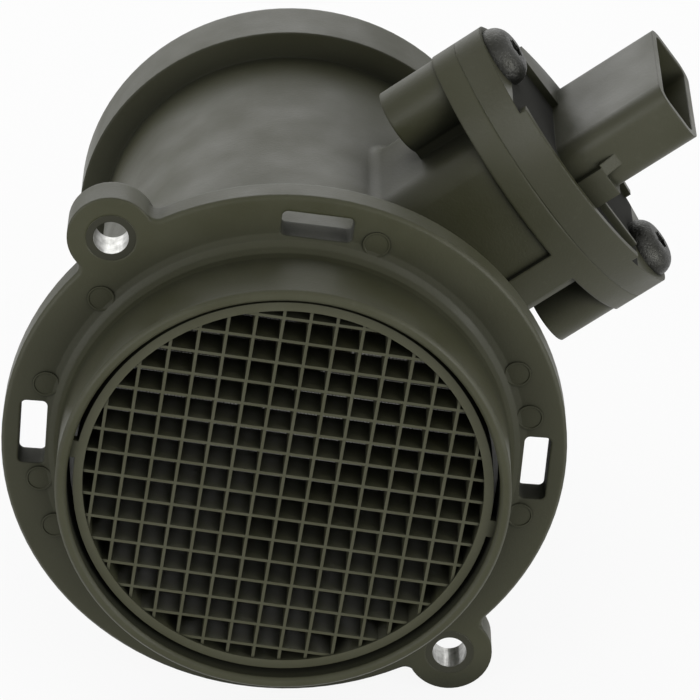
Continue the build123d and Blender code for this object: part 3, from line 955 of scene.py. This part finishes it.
@dataclass
class EjectorMarks:
    """Round marks that the mould's ejector pins leave on the flange's front face."""

    spot_radius: float = 52.5 * MM
    pin_radius: float = 2.85 * MM
    proud: float = 0.3 * MM
    sunk: float = 0.15 * MM
    lip: float = 0.3 * MM
    turns: tuple[float, ...] = (135.5, 161.4, -173.4, -160.4, 67.5, 19.7, 7.9, -18.4)

    def model(self) -> bpy.types.Object:
        """Models one mark, facing along Z.

        Returns:
            A thin disc with a raised lip.
        """
        clear_selection()
        bpy.ops.mesh.primitive_cylinder_add(vertices=40, radius=self.pin_radius, depth=self.proud + self.sunk)
        mark = bpy.context.active_object
        settle(mark, Matrix.Translation((0.0, 0.0, (self.proud - self.sunk) / 2)))
        bpy.ops.object.mode_set(mode="EDIT")
        pick(mark, "FACE", lambda middle, normal: normal.z > 0.9)
        bpy.ops.mesh.inset(thickness=self.lip)
        bpy.ops.mesh.inset(thickness=self.lip / 2)
        bpy.ops.transform.translate(value=(0.0, 0.0, -self.proud / 2))
        bpy.ops.object.mode_set(mode="OBJECT")
        return mark

    def build(self, material: bpy.types.Material) -> bpy.types.Object:
        """Models every mark on the flange.

        Args:
            material: The housing's finish.

        Returns:
            The marks as one piece.
        """
        first = self.model()
        facing = Euler((math.pi / 2, 0.0, 0.0)).to_matrix().to_4x4()
        marks = []
        for number, turn in enumerate(self.turns):
            mark = twin(first, f"ejector_mark_{number}")
            angle = math.radians(turn)
            spot = Vector((self.spot_radius * math.cos(angle), 0.0, self.spot_radius * math.sin(angle)))
            settle(mark, Matrix.Translation(spot) @ facing)
            marks.append(mark)
        bpy.data.objects.remove(first)
        whole = gather(marks, "ejector_marks")
        shade(whole, 35)
        wear(whole, material)
        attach(whole, BODY)
        LOG.info("ejector marks: %d", len(self.turns))
        return whole


@dataclass
class ModuleScrews:
    """Domed screws with a six-lobed recess that hold the module plate."""

    axes: ModuleAxes
    offset: float = 28.2 * MM
    seat: float = 76.5 * MM
    head_radius: float = 6.7 * MM
    head_height: float = 4.2 * MM
    dome: float = 3.7 * MM
    shank_radius: float = 2.0 * MM
    shank_length: float = 13.9 * MM
    recess_radius: float = 2.3 * MM
    recess_depth: float = 1.8 * MM
    recess_lip: float = 0.1 * MM
    lobes: int = 6
    lobe_bite: float = 0.78
    point_inset: float = 0.5 * MM
    point_depth: float = 0.45 * MM

    def model(self) -> bpy.types.Object:
        """Models one screw, with its seat at z = 0 and its head above.

        Returns:
            The screw.
        """
        clear_selection()
        bpy.ops.mesh.primitive_cylinder_add(
            vertices=48, radius=self.head_radius, depth=self.head_height,
            location=(0.0, 0.0, self.head_height / 2),
        )
        screw = bpy.context.active_object
        settle(screw)
        bpy.ops.object.mode_set(mode="EDIT")
        pick(screw, "EDGE", lambda middle, way: middle.z > 0.99 * self.head_height)
        bpy.ops.mesh.bevel(offset=self.dome, segments=9, profile=0.5, affect="EDGES", clamp_overlap=True)
        pick(screw, "FACE", lambda middle, normal: normal.z > 0.999 and middle.z > 0.99 * self.head_height)
        self.sink_recess(screw)
        pick(screw, "FACE", lambda middle, normal: normal.z < -0.9 and middle.z < 0.01 * self.head_height)
        bpy.ops.mesh.inset(thickness=self.head_radius - self.shank_radius)
        bpy.ops.mesh.extrude_region_move(TRANSFORM_OT_translate={"value": (0.0, 0.0, -self.shank_length)})
        bpy.ops.mesh.inset(thickness=self.point_inset)
        bpy.ops.transform.translate(value=(0.0, 0.0, -self.point_depth))
        bpy.ops.mesh.select_all(action="SELECT")
        bpy.ops.mesh.normals_make_consistent(inside=False)
        bpy.ops.object.mode_set(mode="OBJECT")
        shade(screw, 40)
        return screw

    def sink_recess(self, screw: bpy.types.Object) -> None:
        """Presses the six-lobed recess into the crown, whose flat is selected.

        Args:
            screw: The screw, in edit mode.
        """
        flat_radius = self.head_radius - self.dome
        bpy.ops.mesh.inset(thickness=flat_radius - self.recess_radius)
        bpy.ops.mesh.inset(thickness=self.recess_lip)
        shape = bmesh.from_edit_mesh(screw.data)
        rim = {vert for face in shape.faces if face.select for vert in face.verts}
        for vert in rim:
            angle = math.atan2(vert.co.y, vert.co.x)
            bite = 1.0 - (1.0 - self.lobe_bite) * (0.5 - 0.5 * math.cos(self.lobes * angle))
            vert.co.x = self.recess_radius * bite * math.cos(angle)
            vert.co.y = self.recess_radius * bite * math.sin(angle)
        bmesh.update_edit_mesh(screw.data)
        bpy.ops.mesh.extrude_region_move(TRANSFORM_OT_translate={"value": (0.0, 0.0, -self.recess_depth)})

    def build(self, material: bpy.types.Material) -> bpy.types.Object:
        """Models both screws in the place of the CAD screws.

        Args:
            material: The screws' finish.

        Returns:
            The two screws as one piece.
        """
        first = self.model()
        second = twin(first, "second_screw")
        settle(first, self.axes.place(self.offset, self.seat))
        settle(second, self.axes.place(-self.offset, self.seat))
        screws = gather([first, second], "domed_screws")
        wear(screws, material)
        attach(screws, BODY)
        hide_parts("module_screws")
        LOG.info("domed screws: %d faces", len(screws.data.polygons))
        return screws


# --------------------------------------------------------------------------------------------------
# Studio
# --------------------------------------------------------------------------------------------------


@dataclass(frozen=True)
class Softbox:
    """A square soft light: its name, where it hangs, the length of its side and its power."""

    name: str
    place: Colour
    size: float
    watts: float


@dataclass
class Studio:
    """Pale floor, white surround, soft lights and the camera."""

    floor_gap: float = 0.2 * MM
    floor_span: float = 6.0
    floor_colour: Colour = (0.8, 0.8, 0.8)
    floor_glow: float = 0.9
    room_level: float = 0.57
    eye: Colour = (0.0206526, -0.8674945, 0.4872283)
    gaze: Colour = (61.8905, 0.7807, -0.0050)
    lens: float = 241.33
    sensor: float = 36.0
    shift: tuple[float, float] = (-0.001, -0.0003)
    light_aim: Colour = (0.0, 0.05, 0.0)
    softboxes: tuple[Softbox, ...] = (
        Softbox("overhead_light", (-0.3, 1.25, 0.95), 1.8, 13.0),
        Softbox("left_light", (-0.9, -1.0, 0.06), 0.8, 14.0),
        Softbox("right_light", (1.0, -0.8, 0.05), 0.8, 17.0),
    )

    def build_floor(self) -> bpy.types.Object:
        """Lays the floor just under the part."""
        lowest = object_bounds()[0][2]
        clear_selection()
        bpy.ops.mesh.primitive_plane_add(size=self.floor_span, location=(0.0, 0.0, lowest - self.floor_gap))
        floor = bpy.context.active_object
        floor.name = "studio_floor"
        settle(floor)
        desk = NodeDesk("studio_floor")
        path = desk.add("ShaderNodeLightPath")
        clear_rays = desk.add("ShaderNodeMath", operation="MAXIMUM")
        desk.link(path.outputs["Is Camera Ray"], clear_rays.inputs[0])
        desk.link(path.outputs["Is Glossy Ray"], clear_rays.inputs[1])
        share = desk.add("ShaderNodeMath", operation="MULTIPLY")
        share.inputs[1].default_value = self.floor_glow
        desk.link(clear_rays.outputs[0], share.inputs[0])
        pale = desk.add("ShaderNodeBsdfDiffuse")
        pale.inputs["Color"].default_value = (*self.floor_colour, 1.0)
        glow = desk.add("ShaderNodeEmission")
        glow.inputs["Color"].default_value = (1.0, 1.0, 1.0, 1.0)
        glow.inputs["Strength"].default_value = 1.0
        mixed = desk.add("ShaderNodeMixShader")
        desk.link(share.outputs[0], mixed.inputs[0])
        desk.link(pale.outputs[0], mixed.inputs[1])
        desk.link(glow.outputs[0], mixed.inputs[2])
        output = desk.add("ShaderNodeOutputMaterial")
        desk.link(mixed.outputs[0], output.inputs["Surface"])
        wear(floor, desk.material)
        floor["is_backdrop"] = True
        return floor

    def build_surround(self) -> None:
        """Makes the surround white to the camera and in reflections, and a plain grey light otherwise."""
        world = bpy.data.worlds.new("studio_surround")
        bpy.context.scene.world = world
        world.use_nodes = True
        tree = world.node_tree
        tree.nodes.clear()
        path = tree.nodes.new("ShaderNodeLightPath")
        either = tree.nodes.new("ShaderNodeMath")
        either.operation = "MAXIMUM"
        any_of = tree.nodes.new("ShaderNodeMath")
        any_of.operation = "MAXIMUM"
        plain = tree.nodes.new("ShaderNodeBackground")
        plain.inputs["Color"].default_value = (1.0, 1.0, 1.0, 1.0)
        plain.inputs["Strength"].default_value = self.room_level
        white = tree.nodes.new("ShaderNodeBackground")
        white.inputs["Color"].default_value = (1.0, 1.0, 1.0, 1.0)
        white.inputs["Strength"].default_value = 1.0
        mixed = tree.nodes.new("ShaderNodeMixShader")
        output = tree.nodes.new("ShaderNodeOutputWorld")
        tree.links.new(path.outputs["Is Camera Ray"], either.inputs[0])
        tree.links.new(path.outputs["Is Glossy Ray"], either.inputs[1])
        tree.links.new(either.outputs[0], any_of.inputs[0])
        tree.links.new(path.outputs["Is Transmission Ray"], any_of.inputs[1])
        tree.links.new(any_of.outputs[0], mixed.inputs[0])
        tree.links.new(plain.outputs[0], mixed.inputs[1])
        tree.links.new(white.outputs[0], mixed.inputs[2])
        tree.links.new(mixed.outputs[0], output.inputs["Surface"])

    def add_softbox(self, softbox: Softbox) -> bpy.types.Object:
        """Hangs one soft light that faces the part.

        Args:
            softbox: The light's name, place, size and power.

        Returns:
            The light.
        """
        clear_selection()
        bpy.ops.object.light_add(type="AREA", location=softbox.place)
        lamp = bpy.context.active_object
        lamp.name = softbox.name
        lamp.data.size = softbox.size
        lamp.data.energy = softbox.watts
        way = Vector(self.light_aim) - Vector(softbox.place)
        lamp.rotation_euler = way.to_track_quat("-Z", "Y").to_euler()
        return lamp

    def build_camera(self) -> bpy.types.Object:
        """Sets up the camera."""
        clear_selection()
        turn = tuple(math.radians(angle) for angle in self.gaze)
        bpy.ops.object.camera_add(location=self.eye, rotation=turn)
        camera = bpy.context.active_object
        camera.name = "studio_camera"
        camera.data.lens = self.lens
        camera.data.sensor_width = self.sensor
        camera.data.shift_x, camera.data.shift_y = self.shift
        camera.data.clip_start = 0.05
        camera.data.clip_end = 50.0
        bpy.context.scene.camera = camera
        return camera

    def build(self) -> None:
        """Builds the whole studio."""
        self.build_floor()
        self.build_surround()
        for softbox in self.softboxes:
            self.add_softbox(softbox)
        self.build_camera()
        bpy.context.scene.view_settings.view_transform = "Standard"
        LOG.info("studio is up")


def main() -> None:
    """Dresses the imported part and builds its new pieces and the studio."""
    logging.basicConfig(level=logging.INFO, format="%(name)s: %(message)s")
    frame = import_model()
    clear_selection()
    materials = FinishBook().dress(frame["nodes"])
    FineMesh().build(materials["stainless_wire"])
    EjectorMarks().build(materials["mark_moulding"])
    ModuleScrews(ModuleAxes()).build(materials["screw_steel"])
    Studio().build()


if __name__ == "__main__":
    main()
